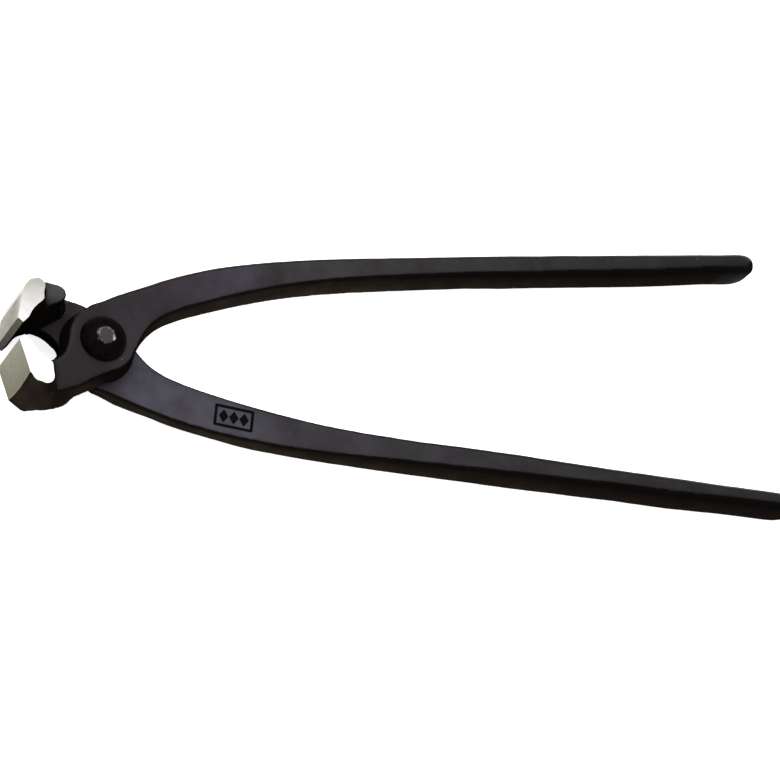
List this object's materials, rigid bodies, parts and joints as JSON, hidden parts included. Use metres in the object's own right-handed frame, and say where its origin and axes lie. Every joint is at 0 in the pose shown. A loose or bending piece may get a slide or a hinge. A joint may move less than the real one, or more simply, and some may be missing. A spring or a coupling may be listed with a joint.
{
  "type": "rebar pincers",
  "caption": "Rebar pincers for tying and nipping wire: forged halves crossing at a riveted lap joint, broad ground jaws, long bowed handles.",
  "frame": {"origin": "at the middle of the tool's length, on its centre line, in the plane where the two halves lap", "axes": "+X towards the handle ends, away from the jaws, +Y towards the front half's handle, +Z along the rivet's axis out of the front face"},
  "size_m": [0.2482, 0.0864, 0.0204],
  "materials": {
    "forged_black": "semi-gloss black lacquer on forged steel",
    "ground_steel": "ground bright under thin clear lacquer",
    "rivet_black": "black lacquered steel, worn bright on the crown"
  },
  "bodies": {
    "rear_half": {"rear_half": "forged_black", "rivet": "rivet_black"},
    "front_half": {"front_half": "forged_black"}
  },
  "joints": [
    {"name": "jaw_pivot", "type": "hinge", "parent": "rear_half", "child": "front_half", "pos_m": [-0.0985, 0, 0], "axis": [0, 0, 1], "range_deg": [-8.75, 55]}
  ]
}
